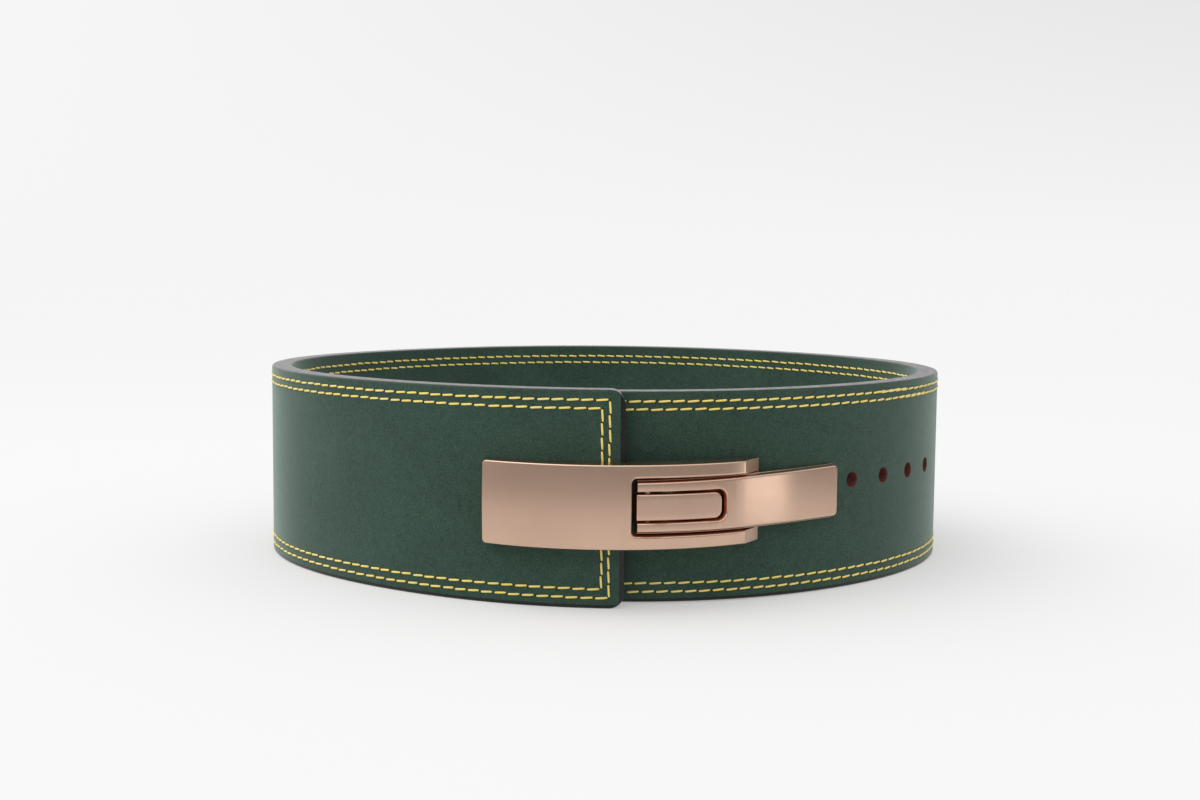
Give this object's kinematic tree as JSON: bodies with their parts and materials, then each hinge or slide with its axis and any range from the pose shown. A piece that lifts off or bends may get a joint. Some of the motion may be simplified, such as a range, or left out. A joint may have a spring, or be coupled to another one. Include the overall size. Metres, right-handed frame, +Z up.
{
  "type": "weightlifting belt",
  "caption": "Thick suede leather lifting belt closed into a loop, its lapped ends held by an over-centre lever buckle with a catch plate, beside a row of size holes.",
  "frame": {"origin": "middle of the base of the bounding box, on the surface that the lower edge of the strap stands on", "axes": "+Z up along the width of the strap, -Y towards the face of the buckle, +X to the right as the buckle is seen from the front"},
  "size_m": [0.3674, 0.3688, 0.1004],
  "materials": {
    "strap_leather": "suede-faced thick leather with black painted edges and yellow double stitching",
    "plate_metal": "satin rose gold plating",
    "lever_metal": "satin rose gold plating",
    "base_metal": "satin rose gold plating",
    "pin_steel": "bare satin steel",
    "screw_metal": "satin rose gold plating"
  },
  "bodies": {
    "root": {"belt_strap": "strap_leather", "catch_plate": "plate_metal", "lever": "lever_metal", "lever_base": "base_metal", "hinge_pin_upper": "pin_steel", "hinge_pin_lower": "pin_steel", "tongue_pin": "pin_steel", "base_screw_left": "screw_metal", "base_screw_right": "screw_metal"}
  },
  "joints": []
}
